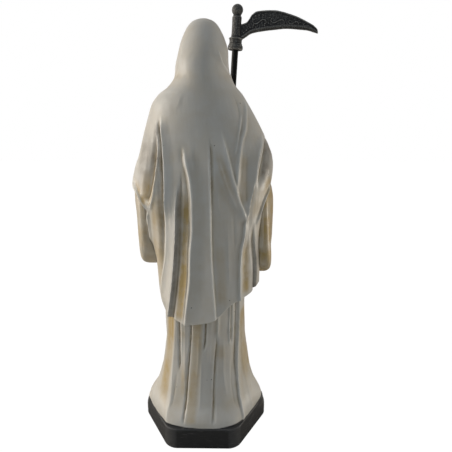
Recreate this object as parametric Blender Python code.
"""A cast resin statue of a hooded skeleton saint in a long robe and mantle, on a six-sided base.

The statue faces -Y, its right hand is on -X and it holds a scythe, which lifts out.
There are three pieces: the casting with its base, the scythe's shaft and the scythe's head.
Lengths are metres. The carving is written on a figure of 400 units, one unit being a
millimetre at the real height, so that pose and drapery grow with the figure.
A bearing is an angle round the figure: 0 is its left side, 90 its back, 180 its right
side and 270 its front. Places across the figure run towards its left, like X.
"""

import math

import bmesh
import bpy
import numpy as np
from mathutils import Matrix, Vector

# Driving sizes
FIGURE_HEIGHT = 0.400
BASE_SIDE = 0.0665
BASE_HEIGHT = 0.022
BASE_CORNER_ROUND = 0.014
BASE_EDGE_ROUND = 0.0012
FRONT_LEDGE = 0.0135
BACK_LEDGE = 0.0008
SHAFT_DIAMETER = 0.0064
SHAFT_CLEARANCE = 0.0004
SHAFT_LEAN = math.radians(3.37)
REST_GAP = 0.0003
FOOT_SOCKET_DEPTH = 0.003
COLLAR_HEIGHT_ON_SHAFT = 0.3587
HEAD_BORE_DEPTH = 0.016
COLLAR_DIAMETER = 0.0138
COLLAR_HEIGHT = 0.0117
COLLAR_LIP_DIAMETER = 0.0150
COLLAR_LIP_HEIGHT = 0.0046
SOCKET_DIAMETER = 0.0094
SOCKET_HEIGHT = 0.0203
FINIAL_DIAMETER = 0.0111
FINIAL_NECK_DIAMETER = 0.0074
BLADE_REACH = 0.0813
BLADE_WIDTH = 0.0180
BLADE_THICKNESS = 0.0046
BLADE_EDGE_THICKNESS = 0.0018
BLADE_EDGE_LAND = 0.0022
SCROLL_RADIUS = 0.0005
BONE_GRAIN = 0.0005

UNITS_TALL = 400
UNIT = FIGURE_HEIGHT / UNITS_TALL
BASE_APOTHEM = BASE_SIDE * math.sqrt(3) / 2
BORE_RADIUS = SHAFT_DIAMETER / 2 + SHAFT_CLEARANCE
SHAFT_LENGTH = FOOT_SOCKET_DEPTH + COLLAR_HEIGHT_ON_SHAFT + HEAD_BORE_DEPTH - 2 * REST_GAP

# How finely each piece is cut into triangles
MANTLE_TRIANGLES = 3200
ROBE_TRIANGLES = 1600
SLEEVES_TRIANGLES = 700
SKULL_TRIANGLES = 720
HANDS_TRIANGLES = 980
SCROLL_TRIANGLES = 300

# Height, left edge, right edge, back and front of the mantle with its hood, in units
MANTLE = (
    (399.6, 3.4, -6.4, -4, -14),
    (398, 7.6, -10.6, 0, -18),
    (395, 11, -14, 6, -23),
    (390, 14.4, -17.4, 12, -28),
    (381, 18.2, -21.4, 19, -32),
    (371, 21, -24, 24.5, -33.5),
    (360, 23.5, -24.5, 28, -34),
    (350, 24.5, -26, 30, -34),
    (341, 30.5, -31.5, 32.5, -34),
    (334, 39.5, -37.5, 34.5, -34),
    (325, 46, -43, 37, -35),
    (313, 50, -50, 40, -36.5),
    (303, 53, -55.5, 42, -38),
    (289, 57, -62, 44.5, -39.5),
    (279, 60, -65.5, 45.5, -40.5),
    (270, 63.5, -66.5, 46.5, -41),
    (248, 67.5, -64, 47.5, -41),
    (238, 65, -62, 48, -40),
    (228, 60, -60, 48, -39),
    (215, 55, -58, 48.5, -38),
    (200, 50.5, -56.5, 49, -37),
    (180, 46, -56, 49.5, -36),
    (160, 45, -55.5, 50, -36),
    (150, 43.7, -55.2, 50.3, -36),
    (140, 41.5, -55, 50.5, -36),
    (133, 39.5, -54.6, 50.5, -36),
    (120, 36, -54, 50.5, -36),
)

# The same for the robe under it, from the chest down to where it starts to spread
ROBE = (
    (345, 15, -15, 15, -24),
    (335, 22, -22, 24, -29),
    (320, 34, -34, 30, -33),
    (300, 46, -46, 36, -36),
    (270, 50, -50, 40, -38),
    (240, 45, -46, 42, -37.5),
    (200, 42, -43, 42, -36.5),
    (131, 41, -41, 41, -37),
    (98, 41.5, -42, 41, -38.5),
    (75, 44, -45, 42.5, -40),
    (58, 47, -47.5, 45, -41),
    (42, 51.5, -52, 49, -42.5),
    (30, 55.5, -56, 53, -43.5),
    (21, 59.5, -59.5, 56.5, -44),
)

# Bearing and height of the mantle's hem, which rises towards the right hip
MANTLE_HEM = (
    (-90, 134), (0, 130), (36, 128), (55, 126), (74, 128), (86, 130), (100, 135), (116, 146),
    (134, 151), (150, 155), (170, 154), (190, 150), (270, 140),
)

# Height, and how far round to the front the mantle's left and right edges come past the
# side: the left one swings back in a swag behind the elbow
MANTLE_EDGE = (
    (400, 90, 90), (332, 90, 90), (326, 84, 84), (318, 74, 74), (305, 63, 63), (290, 54, 54),
    (275, 44, 44), (266, 32, 30), (258, 8, 8), (250, -20, -8), (242, -33, -13),
    (233, -38, -14), (226, -31, -14), (215, -20, -15), (200, -16, -14), (176, -9, -10),
    (146, -6, -10), (120, -6, -10),
)

# The stretch of the back where half of the mantle's columns run straight down
STEADY_BACK = (50, 150)

# A fold of cloth is a line of heights and places across, how far it stands out (or cuts
# in, below zero), how far it falls away to the figure's left and to its right, and the
# height over which it fades in at its top and out at its foot.
MANTLE_BACK_FOLDS = (
    # Crisp edge of the long pleat left of the spine, and the groove beside it
    (((319, 34.2), (309, 33.2), (286, 30.8), (260, 30), (240, 30), (222, 30.2)), 2.6, 2.2, 9,
     9, 18),
    (((262, 30.6), (240, 30.4), (216, 30.6), (196, 31.8), (181, 34.6), (160, 39), (145, 42)),
     1.2, 1.3, 9, 24, 10),
    (((320, 36.2), (300, 35.2), (286, 33.8), (255, 33), (236, 33.5)), -2.8, 2.4, 1.8, 8, 22),
    (((270, 33.4), (250, 33.2), (222, 33), (200, 34.4), (178, 37.6), (158, 42)), -2.8, 8, 1.6,
     24, 22),
    # Top of the pleat, a slope that rises to the sunken band
    (((262, 18.8), (243, 19.8), (219, 20.6), (197, 22), (166, 25.2), (146, 28), (120, 32.6)),
     3.4, 11.5, 2.0, 30, 1),
    # Sunken band beside the spine and the crest that overlaps it
    (((272, 15.6), (262, 15.8), (243, 17), (219, 18.2), (197, 19.6), (166, 22.8), (146, 25.6),
      (120, 30.2)), -1.7, 1.6, 3.4, 24, 1),
    (((290, 12.6), (280, 11.6), (261, 7.6), (244, 6.4), (221, 6.2), (199, 8), (171, 9.2),
      (152, 11.5), (131, 14), (118, 15.5)), 3.2, 7.5, 13, 16, 1),
    (((240, 9.3), (221, 8.8), (199, 10.3), (171, 11.6), (152, 13.8), (118, 17.6)), -0.9, 1.2,
     1.0, 20, 1),
    # Edge of the wide middle panel and the groove at its top
    (((300, -8.4), (261, -9), (227, -9.1), (191, -9.7), (162, -11.3), (137, -12.9),
      (120, -13.8)), 2.0, 12, 1.9, 34, 1),
    (((298, -9.4), (259, -10.4), (235, -11)), -1.0, 2.2, 3, 14, 24),
    # Two drapes that meet in a Y behind the right hip, and the hollows beside them
    (((306, -17), (297, -19.6), (282, -23.8), (265, -28), (249, -32.3), (235, -36.9),
      (220, -41)), 2.1, 12, 2.6, 20, 12),
    (((300, -55.6), (291, -53.4), (276, -49.8), (263, -48.1), (250, -45.8), (237, -42.9),
      (220, -40.6)), 2.5, 11, 1.8, 9, 12),
    (((300, -59), (285, -56.8), (270, -53.8), (250, -51.2)), -3.2, 3, 14, 10, 16),
    (((238, -41.3), (226, -40), (210, -38.4), (197, -36), (178, -35), (144, -35.4)),
     1.9, 2.2, 7, 14, 1),
    (((284, -17), (273, -19), (256, -24), (243, -29.2), (229, -35)), 1.1, 6, 2.4, 14, 8),
    (((290, -40), (262, -41), (236, -41)), -1.4, 9, 9, 26, 8),
    (((330, -38), (323, -39.6), (306, -39.2), (294, -36), (277, -33.7), (252, -32.2),
      (243, -32.6)), 1.4, 4, 4, 8, 22),
    (((318, -36), (312, -35.2), (294, -32.6), (278, -29.8)), 0.8, 2.5, 2.2, 8, 10),
    (((222, -46.8), (200, -48), (180, -49.6), (148, -50)), -2.6, 6, 3, 20, 1),
    # Gathers under the right elbow
    (((256, -63), (251, -61.8), (239, -57.2), (226, -52.8), (216, -50)), 2.0, 3.6, 3, 6, 10),
    (((256, -65), (240, -60), (226, -56)), -0.8, 2, 2, 8, 10),
    # Swag under the left elbow, a V with a rim, and the hollow inside it
    (((262, 64), (250, 59.3), (241, 54.3), (231, 49)), 1.8, 3, 4.5, 8, 4),
    (((304, 37.6), (285, 38.6), (268, 40.8), (250, 44.4), (239, 48)), -3.2, 12, 2, 26, 7),
    (((298, 35.6), (285, 36), (268, 38.1), (246, 42), (232, 47.5)), 1.5, 1.4, 4, 22, 5),
    (((234, 48.5), (200, 48.5), (176, 46.8), (146, 45.5)), 1.8, 2.8, 3.6, 8, 10),
    # Shoulder and hood
    (((334, -28), (321, -33), (306, -35)), -0.6, 6, 4, 10, 12),
    (((372, -15), (363, -17.5), (357, -21), (352, -25), (342, -31)), 1.2, 8, 2.2, 6, 6),
    (((378, 15), (354, 19), (343, 26)), 0.4, 2.6, 7, 8, 8),
)
MANTLE_FRONT_FOLDS = (
    (((322, 20), (300, 33), (280, 43), (262, 50)), 1.5, 4, 5, 8, 8),
    (((322, -20), (300, -33), (280, -44), (264, -51)), 1.5, 5, 4, 8, 8),
    (((312, 38), (292, 47), (270, 55)), -1.3, 4, 4, 10, 10),
    (((312, -38), (292, -48), (270, -56)), -1.3, 4, 4, 10, 10),
)
ROBE_BACK_FOLDS = (
    (((138, 24.4), (119, 25.3), (90, 28.4), (69, 30.8), (49, 32.4), (20, 36)), 2.6, 9, 4, 1, 1),
    (((138, 37), (107, 38), (85, 40.5), (60, 44)), -0.7, 5, 5, 1, 24),
    (((136, 23.2), (115, 23.5), (91, 24.2), (71, 24.2)), -3.0, 1.8, 2, 1, 9),
    (((136, 19), (110, 19.6), (84, 20.6)), 0.9, 2.4, 4, 1, 20),
    (((136, 16), (80, 17.5), (56, 19)), 0.8, 4, 4, 1, 22),
    (((138, 9.6), (108, 11.1), (67, 14.6), (24, 18)), -2.4, 3.6, 1.5, 1, 8),
    (((138, -4.2), (108, -2.7), (96, -1.2)), -2.4, 1.4, 2, 1, 8),
    (((138, -10), (100, -8), (76, -7)), 1.0, 4, 4, 1, 22),
    (((140, -15.4), (118, -14.9), (100, -14)), 1.2, 1.8, 3, 1, 16),
    (((120, -14.6), (107, -13.8), (68, -11.2), (24, -9.8)), -2.1, 1.4, 3.4, 26, 8),
    (((146, -26), (109, -25.6), (98, -26)), 1.2, 1.5, 1.4, 1, 6),
    (((146, -27.9), (121, -27.9), (100, -27.7)), -2.4, 1.2, 2.6, 1, 8),
    (((150, -32.4), (109, -31.9), (79, -31.2), (56, -32.6)), -1.8, 7, 1.6, 1, 26),
    (((150, -34.4), (109, -33.9), (79, -33), (49, -35), (20, -40)), 2.0, 2, 7, 1, 1),
    (((110, -38), (80, -39), (24, -50)), 0.6, 4, 5, 20, 1),
    (((100, 43), (70, 45), (24, 54)), 0.7, 5, 4, 20, 1),
)
ROBE_FRONT_FOLDS = (
    (((326, 3), (306, 6), (290, 4), (276, -2)), 1.4, 4, 5, 8, 12),
    (((318, 15), (298, 17), (276, 12), (262, 4)), 1.5, 5, 3.6, 10, 14),
    (((318, -14), (300, -17), (280, -14)), 1.4, 3.6, 5, 10, 12),
    (((210, 4), (110, 5), (22, 10)), 2.4, 3, 6, 26, 1),
    (((222, 17), (110, 18), (22, 27)), 2.4, 6, 2.6, 24, 1),
    (((205, 29), (100, 30), (22, 40)), 2.0, 5, 4, 26, 1),
    (((215, -9), (22, -9)), 2.2, 5, 3, 24, 1),
    (((225, -22), (110, -21), (22, -28)), 2.5, 2.6, 6, 26, 1),
    (((205, -33), (100, -32), (22, -42)), 2.0, 4, 5, 26, 1),
    (((180, -15), (24, -18)), -2.0, 3, 3, 24, 1),
    (((190, 11), (24, 17)), -2.0, 3, 3, 24, 1),
)

# Share of the way from elbow to mouth, middle across, middle deep, top, foot, half the
# thickness and how far the top leans outwards, for each sleeve
LEFT_SLEEVE = (
    (0.00, 50, 20, 240, 204, 3, 2),
    (0.07, 51.5, 16, 252, 186, 8, 2),
    (0.18, 53.5, 8, 260, 175, 11.5, 2),
    (0.45, 53, -10, 257, 169, 12.5, 2),
    (0.72, 46, -30, 248, 162, 12.5, 1),
    (1.00, 36, -47, 241, 156, 12, 0),
)
RIGHT_SLEEVE = (
    (0.00, -54, 20, 236, 196, 3, -0.5),
    (0.07, -55, 16, 250, 176, 8, -1),
    (0.18, -56, 8, 258, 167, 11, -1.5),
    (0.45, -55.5, -10, 261, 160, 12, -1),
    (0.72, -50, -29, 258, 153, 12.5, 0),
    (1.00, -40, -45, 254, 148, 12, 0),
)
SLEEVE_RIM = 2.4
SLEEVE_MOUTH_DEPTH = 8

# Height from the middle, half the width, back and front of the skull
SKULL = (
    (20.5, 2, 2, -1),
    (18.5, 8, 9, -7),
    (15, 11.5, 13, -10.5),
    (10, 13.5, 15, -12.5),
    (5, 14, 15.5, -13),
    (1, 13.5, 14.5, -12.5),
    (-4, 12.5, 12, -12.5),
    (-8, 10.5, 8, -12.5),
    (-12, 9, 4, -13),
    (-16, 8, 0, -12.5),
    (-19, 6, -3, -11.5),
    (-20.5, 2, -6, -10),
)
SKULL_MIDDLE = (-1.5, -15, 361)
EYE_PLACE = (5.6, 1.2)
EYE_SIZE = (4.3, 3.8)
TOOTH_PITCH = 2.1

# Hollow of the hood: its middle, its half sizes and how square its outline is
HOOD_HOLLOW_MIDDLE = (-1.5, -36, 360)
HOOD_HOLLOW_SIZE = (17.5, 27, 28)

# Where the shaft stands on the base, across, and where the right hand holds it
FOOT_ACROSS = -9.5
GRIP_HEIGHT = 245
FINGER_PITCH = 4.7
FINGER_RADIUS = 1.9

# Reach from the shaft's axis, lower edge and upper edge of the blade, as shares of its
# reach, and of its width above the collar's foot
BLADE = (
    (0.047, 0.48, 1.33),
    (0.12, 0.70, 1.46),
    (0.18, 0.89, 1.86),
    (0.24, 0.98, 2.05),
    (0.45, 1.16, 2.15),
    (0.65, 1.27, 2.00),
    (0.85, 1.25, 1.69),
    (0.985, 1.13, 1.34),
    (1.00, 1.12, 1.16),
)
# Middle along and up, size, turn and hand of the scrolls on the blade
SCROLLS = (
    (0.23, 1.62, 0.27, 20, 1),
    (0.35, 1.47, 0.23, 200, -1),
    (0.47, 1.76, 0.25, 0, 1),
    (0.58, 1.51, 0.19, 190, -1),
    (0.68, 1.69, 0.18, -10, 1),
    (0.79, 1.50, 0.13, 185, -1),
)


def smooth_table(table, at):
    """Reads a table's columns at any key along smooth curves that never overshoot."""
    rows = np.array(sorted(table), float)
    keys, values = rows[:, 0], rows[:, 1:]
    at = np.clip(np.asarray(at, float), keys[0], keys[-1])
    step = np.diff(keys)[:, None]
    slope = np.diff(values, axis=0) / step
    tangent = np.zeros_like(values)
    same_way = slope[:-1] * slope[1:] > 0
    with np.errstate(divide="ignore", invalid="ignore"):
        middle = 2 * slope[:-1] * slope[1:] / (slope[:-1] + slope[1:])
    tangent[1:-1] = np.where(same_way, middle, 0)
    tangent[0], tangent[-1] = slope[0], slope[-1]
    index = np.clip(np.searchsorted(keys, at, side="right") - 1, 0, len(keys) - 2)
    width = step[index]
    share = ((at - keys[index]) / width[..., 0])[..., None]
    return (
        values[index] * (1 + 2 * share) * (1 - share) ** 2
        + tangent[index] * width * share * (1 - share) ** 2
        + values[index + 1] * (3 - 2 * share) * share**2
        - tangent[index + 1] * width * share**2 * (1 - share)
    )


def ease(share):
    """0 below 0, 1 above 1, and a smooth step between."""
    share = np.clip(share, 0, 1)
    return share * share * (3 - 2 * share)


def section_at(table, height):
    """Centre and half sizes, across and deep, of a table's oval at any height."""
    left, right, back, front = np.moveaxis(smooth_table(table, height), -1, 0)
    return (left + right) / 2, (left - right) / 2, (back + front) / 2, (back - front) / 2


def oval(section, bearing, front_squareness=2.0):
    """Points of an oval, squarer towards the front, and its outward direction."""
    centre_x, half_x, centre_y, half_y = section
    across, deep = np.cos(bearing), np.sin(bearing)
    power = np.where(deep < 0, 2 / front_squareness, 1.0)
    x = np.sign(across) * np.abs(across) ** power
    y = np.sign(deep) * np.abs(deep) ** power
    out_x = np.sign(x) * np.abs(x) ** (2 / power - 1) / half_x
    out_y = np.sign(y) * np.abs(y) ** (2 / power - 1) / half_y
    size = np.hypot(out_x, out_y)
    return centre_x + half_x * x, centre_y + half_y * y, out_x / size, out_y / size


def fold_shape(fold, height, offset):
    """Height of one fold where the cloth lies some distance to the right of its line."""
    line, rise, run_left, run_right, fade_top, fade_foot = fold
    slope = np.where(offset > 0, 1 - offset / run_right, 1 + offset / run_left)
    along = ease((line[0][0] - height) / fade_top) * ease((height - line[-1][0]) / fade_foot)
    return rise * np.clip(slope, 0, 1) ** 1.7 * along


def fold_relief(folds, on_back, section, bearing, height):
    """How far a set of folds moves the back or the front of the cloth out of its oval."""
    centre_x, half_x, _, half_y = section
    relief = np.zeros_like(height)
    side = 1 if on_back else -1
    facing = side * np.sin(bearing) > -0.2
    for fold in folds:
        across = smooth_table(fold[0], height)[..., 0]
        place = side * np.arccos(np.clip((across - centre_x) / half_x, -1, 1))
        apart = (bearing - place + math.pi) % (2 * math.pi) - math.pi
        middle = place + apart / 2
        length = np.hypot(half_x * np.sin(middle), half_y * np.cos(middle))
        relief += np.where(facing, fold_shape(fold, height, side * apart * length), 0)
    return relief


def mantle_rings(columns, rows):
    """Rings of the mantle from its hem up to the hood, hidden inside the robe in front."""
    hidden = columns // 8
    shown = columns - hidden
    steady = np.radians(STEADY_BACK)
    column = np.arange(columns)[None, :]
    drop = np.linspace(1, 0, rows)[:, None]
    drop = 0.4 * drop + 0.6 * drop**1.5
    top = MANTLE[0][0]
    heights = np.full((rows, columns), float(top))
    for _ in range(3):
        past_left, past_right = np.moveaxis(smooth_table(MANTLE_EDGE, heights), -1, 0)
        start = np.radians(np.maximum(-past_left, -88.5))
        end = np.radians(180 + np.minimum(past_right, 88.5))
        over_back = np.where(
            column < shown / 4,
            start + (steady[0] - start) * column / (shown / 4),
            steady[0] + (steady[1] - steady[0]) * (column - shown / 4) / (shown / 2),
        )
        to_end = (column - 0.75 * shown) / (0.25 * shown - 1)
        over_back = np.where(to_end > 0, steady[1] + (end - steady[1]) * to_end, over_back)
        over_front = end + (column - shown + 1) / (hidden + 1) * (2 * math.pi + start - end)
        bearings = np.where(column < shown, over_back, over_front)
        degrees = np.degrees((bearings + math.pi / 2) % (2 * math.pi)) - 90
        heights = top - drop * (top - smooth_table(MANTLE_HEM, degrees)[..., 0])
    section = section_at(MANTLE, heights)
    squareness = 2.2 + 0.7 * ease((heights - 312) / 30)
    x, y, out_x, out_y = oval(section, bearings, squareness)
    relief = fold_relief(MANTLE_BACK_FOLDS, True, section, bearings, heights)
    relief += fold_relief(MANTLE_FRONT_FOLDS, False, section, bearings, heights)
    centre_x, half_x, centre_y, half_y = section_at(ROBE, heights)
    inside_x, inside_y, _, _ = oval((centre_x, half_x - 4, centre_y, half_y - 4), bearings)
    sunk = (column >= shown) * (1 - ease((heights - 318) / 14))
    x = x + relief * out_x + (inside_x - x) * sunk
    y = y + relief * out_y + (inside_y - y) * sunk
    return np.stack([x, y, heights], -1) * UNIT


def foot_outline(bearing):
    """The robe's foot in units: the base's six sides drawn in, and cut back in front."""
    side = (BASE_APOTHEM - BACK_LEDGE) / UNIT
    front = (BASE_APOTHEM - FRONT_LEDGE) / UNIT
    sharpness = 9
    total = (np.clip(-np.sin(bearing), 0, 1) / front) ** sharpness
    for turn in (math.pi / 6, math.pi / 2, 5 * math.pi / 6):
        total = total + (np.abs(np.cos(bearing - turn)) / side) ** sharpness
    radius = total ** (-1 / sharpness)
    return radius * np.cos(bearing), radius * np.sin(bearing)


def robe_rings(columns, rows):
    """Rings of the robe from the base up to the neck."""
    foot = BASE_HEIGHT / UNIT - 1
    heights = np.linspace(foot, ROBE[0][0] - 1, rows)[:, None] + np.zeros((1, columns))
    bearings = np.linspace(0, 2 * math.pi, columns, endpoint=False)[None, :] + 0 * heights
    section = section_at(ROBE, heights)
    x, y, out_x, out_y = oval(section, bearings, 2.3)
    spread = ease((foot + 24 - heights) / 24) ** 1.5
    foot_x, foot_y = foot_outline(bearings)
    relief = fold_relief(ROBE_BACK_FOLDS, True, section, bearings, heights)
    relief += fold_relief(ROBE_FRONT_FOLDS, False, section, bearings, heights)
    relief *= 1 - 0.5 * spread
    x = x + (foot_x - x) * spread + relief * out_x
    y = y + (foot_y - y) * spread + relief * out_y
    return np.stack([x, y, heights], -1) * UNIT


def along_path(path):
    """Directions along a path of points, and level and upright directions across it."""
    ahead = np.gradient(path, axis=0)
    ahead /= np.linalg.norm(ahead, axis=1, keepdims=True)
    level = np.cross((0, 0, 1), ahead)
    level /= np.linalg.norm(level, axis=1, keepdims=True)
    return ahead, level, np.cross(ahead, level)


def sleeve_rings(table, outer_side, columns, rows):
    """Rings of a hanging sleeve from behind the elbow to its mouth, then back inside it."""
    share = np.linspace(0, 1, rows) ** 1.15
    x, y, top, foot, half, lean = smooth_table(table, share).T
    middle = np.stack([x, y, (top + foot) / 2], -1)
    flat = middle * (1, 1, 0)
    _, level, _ = along_path(flat)
    turn = np.linspace(0, 2 * math.pi, columns, endpoint=False)[None, :]
    power = np.where(np.sin(turn) < 0, 0.45, 0.6)
    across = np.sign(np.cos(turn)) * np.abs(np.cos(turn)) ** power
    upright = np.sign(np.sin(turn)) * np.abs(np.sin(turn)) ** power
    tall = ((top - foot) / 2)[:, None]
    # Creases run down and forwards from the elbow, deeper on the outer side
    forward = share[:, None] * 70
    slant = forward + 0.30 * (upright + 1) * tall
    crease = 1.7 * np.sin(slant / 5.6 + 0.8 * np.sin(slant / 9))
    depth = (0.35 + 0.65 * (outer_side * across > 0)) * ease(share / 0.2)[:, None]
    width = half[:, None] * across + crease * depth * across
    width += outer_side * lean[:, None] * upright
    rings = middle[:, None] + level[:, None] * width[..., None]
    rings = rings + np.array((0, 0, 1)) * (tall * upright)[..., None]
    mouth = rings[-1]
    centre = mouth.mean(0)
    ahead = (flat[-1] - flat[-2]) / np.linalg.norm(flat[-1] - flat[-2])
    size = np.array((half[-1], half[-1], tall[-1, 0]))
    inner = centre + (mouth - centre) * (1 - SLEEVE_RIM / size)
    deep = centre + (inner - centre) * 0.9 - ahead * SLEEVE_MOUTH_DEPTH
    return np.concatenate([rings, inner[None], deep[None]]) * UNIT


def skull_rings(columns, rows):
    """Rings of a bare skull from chin to crown: a smooth oval with dents and ridges."""
    low, high = SKULL[-1][0], SKULL[0][0]
    level = np.linspace(0, 1, rows)[:, None]
    heights = low + (high - low) * (0.5 - 0.5 * np.cos(math.pi * (0.03 + 0.94 * level)))
    bearings = np.linspace(0, 2 * math.pi, columns, endpoint=False)[None, :]
    heights = heights + 0 * bearings
    bearings = bearings + 0 * heights
    wide, back, front = np.moveaxis(smooth_table(SKULL, heights), -1, 0)
    section = (0, wide, (back + front) / 2, (back - front) / 2)
    x, y, _, _ = oval(section, bearings, 2.3)

    def spot(across, up, half_across, half_up):
        return ((np.abs(x) - across) / half_across) ** 2 + ((heights - up) / half_up) ** 2

    tooth_band = ease((heights + 15.8) / 1.0) * ease((-9.6 - heights) / 1.0)
    tooth_gap = np.abs(np.sin(math.pi * (x / TOOTH_PITCH + 0.5))) ** 6
    nose_half = 0.6 + 0.42 * np.clip(-heights - 1.0, 0, 6)
    nose = np.exp(-((x / nose_half) ** 4)) * ease((-1 - heights) / 1.5) * ease((heights + 8) / 1.2)
    dent = 4.6 * np.exp(-(spot(*EYE_PLACE, *EYE_SIZE) ** 2))
    dent += 3.0 * nose
    dent += 1.9 * np.exp(-spot(9.5, -10.5, 2.6, 3.6))
    dent += tooth_band * (0.5 * (1 - tooth_gap) ** 8 + 0.9 * np.exp(-(((heights + 12.6) / 0.5) ** 2)))
    dent -= 1.2 * np.exp(-spot(5.5, 6.2, 5.5, 1.6))
    dent -= 1.3 * np.exp(-spot(9.5, -4.5, 2.8, 1.7))
    dent -= 0.9 * np.exp(-spot(0, -18, 3.2, 1.8))
    dent -= 0.8 * tooth_band
    facing = ease(-np.sin(bearings) / 0.35)
    rings = np.stack([x, y + dent * facing, heights], -1)
    return (rings + SKULL_MIDDLE) * UNIT


def tube_rings(path, radii, sides):
    """Rings round a path of points in units, one for each radius."""
    path = np.asarray(path, float)
    _, level, upright = along_path(path)
    turn = np.linspace(0, 2 * math.pi, sides, endpoint=False)[None, :, None]
    ring = level[:, None] * np.cos(turn) + upright[:, None] * np.sin(turn)
    return (path[:, None] + ring * np.asarray(radii, float)[:, None, None]) * UNIT


def bone_rings(joints, radius, sides=8):
    """Rings of a row of bones that swell at each joint and narrow between."""
    path, radii = [], []
    for start, end in zip(joints[:-1], joints[1:]):
        for share, swell in ((0.02, 0.92), (0.16, 1.12), (0.34, 0.78), (0.66, 0.78), (0.84, 1.12)):
            path.append(Vector(start).lerp(Vector(end), share))
            radii.append(radius * swell)
    path.append(Vector(joints[-1]))
    radii.append(radius * 0.6)
    return tube_rings(path, radii, sides)


def shaft_point(height):
    """Where the shaft's axis is at a height, in units."""
    foot = BASE_HEIGHT / UNIT
    front = -(BASE_APOTHEM - FRONT_LEDGE / 2) / UNIT
    return np.array((FOOT_ACROSS - (height - foot) * math.tan(SHAFT_LEAN), front, height))


def gripping_hand():
    """Bones of the right hand, closed round the shaft, with its wrist in the sleeve."""
    wrist = np.array((-38, -43, GRIP_HEIGHT - 3))
    round_shaft = SHAFT_DIAMETER / 2 / UNIT + SHAFT_CLEARANCE / UNIT + FINGER_RADIUS - 0.5
    hands = [bone_rings([(-50, -30, GRIP_HEIGHT + 3), wrist - (2, -2, 0), wrist], 2.6)]
    for finger in range(4):
        height = GRIP_HEIGHT + (finger - 1.5) * FINGER_PITCH
        centre = shaft_point(height)
        joints = [wrist + (0, 0, (finger - 1.5) * 1.6)]
        for bearing in (165, 225, 285, 345, 395):
            turn = math.radians(bearing)
            joints.append(centre + np.array((math.cos(turn), math.sin(turn), 0)) * round_shaft)
        joints[1] = joints[1] + (-1.5, 0, 0)
        hands.append(bone_rings(joints, FINGER_RADIUS))
    thumb_height = GRIP_HEIGHT + 2.9 * FINGER_PITCH
    centre = shaft_point(thumb_height)
    thumb = [wrist + (0, 0, 4), centre + (-7.5, -1, -4)]
    for bearing, lift in ((215, 0), (265, 1.5), (315, 2.5)):
        turn = math.radians(bearing)
        thumb.append(centre + (math.cos(turn) * round_shaft, math.sin(turn) * round_shaft, lift))
    hands.append(bone_rings(thumb, FINGER_RADIUS * 1.1))
    return hands


def resting_hand():
    """Bones of the left hand, laid flat on the robe at the waist."""
    wrist = np.array((33, -43, 232))
    hands = [bone_rings([(44, -34, 232), wrist + (2, 2, 0), wrist], 2.6)]
    for finger in range(4):
        spread = finger - 1.5
        length = 30 - 1.6 * abs(spread - 0.5) ** 2
        joints = []
        for share, deep in ((0, -42.5), (0.38, -41.5), (0.68, -40.5), (0.88, -39.5), (1, -38.6)):
            joints.append((33 - share * length, deep, 232 + spread * (1.8 + 3.0 * share) + 3 * share))
        hands.append(bone_rings(joints, FINGER_RADIUS))
    thumb = [(32, -43, 236), (26, -42.5, 242), (21, -41.5, 246), (16.5, -40, 248)]
    hands.append(bone_rings(thumb, FINGER_RADIUS * 1.1))
    return hands


def rings_to_mesh(name, rings, first_pole=None, last_pole=None):
    """Closed mesh through rings that turn right-handed about their line of travel."""
    rows, columns, _ = rings.shape
    first = rings[0].mean(0) if first_pole is None else first_pole
    last = rings[-1].mean(0) if last_pole is None else last_pole
    points = np.concatenate([[first], rings.reshape(-1, 3), [last]])
    end = len(points) - 1
    faces = []
    for column in range(columns):
        beside = (column + 1) % columns
        faces.append((0, 1 + beside, 1 + column))
        faces.append((end, end - columns + column, end - columns + beside))
        for low in range(1, end - columns, columns):
            high = low + columns
            faces.append((low + column, low + beside, high + beside, high + column))
    mesh = bpy.data.meshes.new(name)
    mesh.from_pydata(points.tolist(), [], faces)
    mesh.update()
    return mesh


def add_object(name, mesh, material=None, parent=None):
    item = bpy.data.objects.new(name, mesh)
    bpy.context.collection.objects.link(item)
    item.parent = parent
    if material:
        mesh.materials.append(material)
    return item


def add_material(name, color, roughness, metallic=0.0):
    material = bpy.data.materials.new(name)
    material.use_nodes = True
    shader = material.node_tree.nodes["Principled BSDF"]
    shader.inputs["Base Color"].default_value = (*color, 1)
    shader.inputs["Roughness"].default_value = roughness
    shader.inputs["Metallic"].default_value = metallic
    return material


def combine(target, other, operation):
    """Joins another object to the target, or cuts it away, with a live Boolean."""
    other.hide_render = True
    other.display_type = "WIRE"
    modifier = target.modifiers.new(f"{operation.title()} {other.name}", "BOOLEAN")
    modifier.operation = operation
    modifier.object = other
    modifier.solver = "EXACT"
    modifier.material_mode = "TRANSFER"
    return modifier


def join_meshes(name, meshes):
    """One mesh that holds several closed bodies."""
    shape = bmesh.new()
    for mesh in meshes:
        shape.from_mesh(mesh)
        bpy.data.meshes.remove(mesh)
    joined = bpy.data.meshes.new(name)
    shape.to_mesh(joined)
    shape.free()
    return joined


def make_mantle():
    """The mantle with its hem turned under it, closed inside the robe."""
    rings = mantle_rings(208, 96)
    hem = rings[0]
    middle = hem.mean(0)
    ledge = middle + (hem - middle) * (0.72, 0.72, 0)
    ledge[:, 2] = hem[:, 2] + 0.5 * UNIT
    crown = np.array((-1.5, -9, UNITS_TALL)) * UNIT
    return rings_to_mesh("mantle", np.concatenate([ledge[None], rings]), last_pole=crown)


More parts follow.
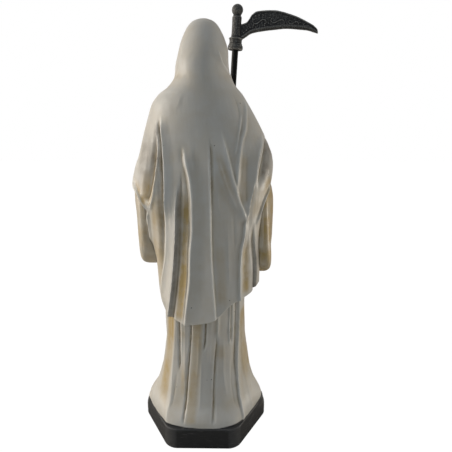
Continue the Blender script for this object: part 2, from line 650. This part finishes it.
def make_base():
    """Six-sided slab with rounded corners and softened top and bottom edges."""
    mesh = bpy.data.meshes.new("base")
    shape = bmesh.new()
    bmesh.ops.create_cone(
        shape, cap_ends=True, segments=6, radius1=BASE_SIDE, radius2=BASE_SIDE, depth=BASE_HEIGHT
    )
    bmesh.ops.rotate(shape, verts=shape.verts, matrix=Matrix.Rotation(math.pi / 6, 3, "Z"))
    bmesh.ops.translate(shape, verts=shape.verts, vec=(0, 0, BASE_HEIGHT / 2))
    edges = [e for e in shape.edges if abs(e.verts[0].co.z - e.verts[1].co.z) > BASE_HEIGHT / 2]
    bmesh.ops.bevel(
        shape,
        geom=edges,
        offset=BASE_CORNER_ROUND * math.tan(math.radians(30)),
        segments=5,
        profile=0.5,
        affect="EDGES",
    )
    edges = [e for e in shape.edges if abs(e.verts[0].co.z - e.verts[1].co.z) < BASE_EDGE_ROUND]
    bmesh.ops.bevel(
        shape, geom=edges, offset=BASE_EDGE_ROUND, segments=2, profile=0.5, affect="EDGES"
    )
    shape.to_mesh(mesh)
    shape.free()
    return mesh


def make_hood_hollow():
    """Rounded arch that hollows the hood in front of and round the skull."""
    mesh = bpy.data.meshes.new("hood_hollow")
    shape = bmesh.new()
    bmesh.ops.create_uvsphere(shape, u_segments=24, v_segments=16, radius=1)
    bmesh.ops.scale(shape, verts=shape.verts, vec=Vector(HOOD_HOLLOW_SIZE) * UNIT)
    bmesh.ops.translate(shape, verts=shape.verts, vec=Vector(HOOD_HOLLOW_MIDDLE) * UNIT)
    shape.to_mesh(mesh)
    shape.free()
    return mesh


def make_shaft(radius, length, sides):
    """Round rod from the origin upwards."""
    mesh = bpy.data.meshes.new("shaft")
    shape = bmesh.new()
    bmesh.ops.create_cone(
        shape, cap_ends=True, segments=sides, radius1=radius, radius2=radius, depth=length
    )
    bmesh.ops.translate(shape, verts=shape.verts, vec=(0, 0, length / 2))
    shape.to_mesh(mesh)
    shape.free()
    return mesh


def turned_head_rings(sides=20):
    """Rings of the turned socket: up inside its blind bore, over the collar to the finial."""
    lip, collar = COLLAR_LIP_DIAMETER / 2, COLLAR_DIAMETER / 2
    socket, neck, ball = SOCKET_DIAMETER / 2, FINIAL_NECK_DIAMETER / 2, FINIAL_DIAMETER / 2
    soft = COLLAR_LIP_HEIGHT / 5
    profile = [
        (BORE_RADIUS, HEAD_BORE_DEPTH),
        (BORE_RADIUS, 0),
        (lip - soft, 0),
        (lip, soft),
        (lip, COLLAR_LIP_HEIGHT - soft),
        (lip - soft, COLLAR_LIP_HEIGHT),
        (collar, COLLAR_LIP_HEIGHT + soft),
        (collar, COLLAR_HEIGHT - soft),
        (collar - soft, COLLAR_HEIGHT),
        (socket, COLLAR_HEIGHT + soft),
        (socket, COLLAR_HEIGHT + SOCKET_HEIGHT - soft),
        (neck, COLLAR_HEIGHT + SOCKET_HEIGHT),
    ]
    ball_middle = COLLAR_HEIGHT + SOCKET_HEIGHT + math.sqrt(ball**2 - neck**2) + soft
    for turn in np.radians(np.linspace(-42, 74, 7)):
        profile.append((ball * math.cos(turn), ball_middle + ball * math.sin(turn)))
    turn = np.linspace(0, 2 * math.pi, sides, endpoint=False)
    rings = [np.stack([r * np.cos(turn), r * np.sin(turn), z + 0 * turn], -1) for r, z in profile]
    return np.array(rings), (0, 0, HEAD_BORE_DEPTH), (0, 0, ball_middle + ball)


def blade_rings(stations=20):
    """Rings of the blade from the socket to its tip, with a bevelled lower edge."""
    share = np.linspace(BLADE[0][0], 1, stations)
    lower, upper = smooth_table(BLADE, share).T * BLADE_WIDTH
    half, edge = BLADE_THICKNESS / 2, BLADE_EDGE_THICKNESS / 2
    rings = []
    for reach, low, high in zip(share * BLADE_REACH, lower, upper):
        tall = high - low
        land = min(BLADE_EDGE_LAND, tall * 0.3)
        thick = half * min(1, 0.25 + tall / (4 * BLADE_EDGE_LAND))
        thin = min(edge, thick * 0.6)
        outline = [
            (thin, low), (thick, low + land), (thick, high - land / 3), (thick * 0.6, high),
            (-thick * 0.6, high), (-thick, high - land / 3), (-thick, low + land), (-thin, low),
        ]
        rings.append([(-reach, -deep, up) for deep, up in outline])
    return np.array(rings)


def scroll_rings(scroll, face):
    """Rings of one raised scroll, a stem that winds into a curl, on a face of the blade."""
    along, up, size, turn, hand = scroll
    path, radii = [], []
    for share in np.linspace(0, 1, 15):
        wind = math.radians(turn) + hand * (5.6 * share)
        radius = size * BLADE_WIDTH * (1.25 - 1.05 * share)
        x = -along * BLADE_REACH - radius * 1.3 * math.cos(wind)
        z = up * BLADE_WIDTH + radius * math.sin(wind)
        path.append((x / UNIT, face * BLADE_THICKNESS / 2 / UNIT, z / UNIT))
        radii.append(SCROLL_RADIUS / UNIT * (0.6 + 0.7 * math.sin(math.pi * share) + 0.5 * share))
    path = np.array(path)
    ahead = np.gradient(path, axis=0)
    ahead /= np.linalg.norm(ahead, axis=1, keepdims=True)
    side = np.cross((0, 1, 0), ahead)
    turns = np.linspace(0, 2 * math.pi, 6, endpoint=False)[None, :, None]
    ring = np.array((0, 1, 0)) * np.cos(turns) - side[:, None] * np.sin(turns)
    return (path[:, None] + ring * np.array(radii)[:, None, None]) * UNIT


def make_figure(paint, base_paint, scythe):
    """The casting: each draped piece is thinned, then all are joined into one body."""
    figure = add_object("figure", rings_to_mesh("figure", robe_rings(144, 72)), paint)
    thin_out(figure, ROBE_TRIANGLES)
    mantle = add_object("mantle", make_mantle(), paint)
    thin_out(mantle, MANTLE_TRIANGLES)
    combine(figure, mantle, "UNION")
    meshes = [
        rings_to_mesh("left_sleeve", sleeve_rings(LEFT_SLEEVE, 1, 40, 30)),
        rings_to_mesh("right_sleeve", sleeve_rings(RIGHT_SLEEVE, -1, 40, 30)),
    ]
    sleeves = add_object("sleeves", join_meshes("sleeves", meshes), paint)
    thin_out(sleeves, SLEEVES_TRIANGLES)
    combine(figure, sleeves, "UNION")
    combine(figure, add_object("base", make_base(), base_paint), "UNION")
    combine(figure, add_object("hood_hollow", make_hood_hollow(), paint), "DIFFERENCE")
    skull = add_object("skull", rings_to_mesh("skull", skull_rings(64, 44)), paint)
    thin_out(skull, SKULL_TRIANGLES)
    combine(figure, skull, "UNION")
    neck_foot = np.array(SKULL_MIDDLE) - (0, 0, 34)
    neck = bone_rings([neck_foot, neck_foot + (0, 3, 26)], 5.5, 12)
    meshes = [rings_to_mesh("bone", rings) for rings in [neck, *gripping_hand(), *resting_hand()]]
    bones = add_object("bones", join_meshes("bones", meshes), paint)
    fuse = bones.modifiers.new("Fuse bones", "REMESH")
    fuse.mode = "VOXEL"
    fuse.voxel_size = BONE_GRAIN
    thin_out(bones, HANDS_TRIANGLES)
    combine(figure, bones, "UNION")
    cutter = make_shaft(BORE_RADIUS, SHAFT_LENGTH, 12)
    clearance = add_object("shaft_clearance", cutter, base_paint, scythe)
    clearance.location.z = -REST_GAP
    combine(figure, clearance, "DIFFERENCE")
    return figure


def thin_out(item, triangles):
    """Thins an object's evaluated mesh to about a number of triangles."""
    evaluated = item.evaluated_get(bpy.context.evaluated_depsgraph_get())
    shape = evaluated.to_mesh()
    shape.calc_loop_triangles()
    share = triangles / len(shape.loop_triangles)
    evaluated.to_mesh_clear()
    item.modifiers.new("Thin out", "DECIMATE").ratio = min(1, share)


def make_scythe(black, silver):
    """The shaft, leaning in its foot socket, and the head that slips over its top."""
    scythe = add_object("scythe", None)
    scythe.rotation_euler = (0, -SHAFT_LEAN, 0)
    down_the_shaft = Vector((math.sin(SHAFT_LEAN), 0, -math.cos(SHAFT_LEAN)))
    foot = Vector(shaft_point(BASE_HEIGHT / UNIT)) * UNIT
    scythe.location = foot + FOOT_SOCKET_DEPTH * down_the_shaft
    rod = make_shaft(SHAFT_DIAMETER / 2, SHAFT_LENGTH - REST_GAP, 20)
    shaft = add_object("scythe_shaft", rod, black, scythe)
    shaft.location.z = REST_GAP
    turned = rings_to_mesh("scythe_head", *turned_head_rings())
    head = add_object("scythe_head", turned, silver, scythe)
    head.location.z = FOOT_SOCKET_DEPTH + COLLAR_HEIGHT_ON_SHAFT
    blade = add_object("blade", rings_to_mesh("blade", blade_rings()), silver, head)
    combine(head, blade, "UNION")
    meshes = [rings_to_mesh("scroll", scroll_rings(s, face)) for s in SCROLLS for face in (-1, 1)]
    relief = add_object("scrolls", join_meshes("scrolls", meshes), silver, head)
    thin_out(relief, SCROLL_TRIANGLES)
    combine(head, relief, "UNION")
    return scythe


def main():
    for item in list(bpy.data.objects):
        bpy.data.objects.remove(item, do_unlink=True)
    paint = add_material("white_paint", (0.78, 0.76, 0.70), 0.45)
    base_paint = add_material("black_paint", (0.03, 0.03, 0.03), 0.55)
    silver = add_material("antique_silver", (0.50, 0.49, 0.46), 0.35, 0.7)
    scythe = make_scythe(base_paint, silver)
    bpy.context.view_layer.update()
    make_figure(paint, base_paint, scythe)
    bpy.context.view_layer.update()


main()
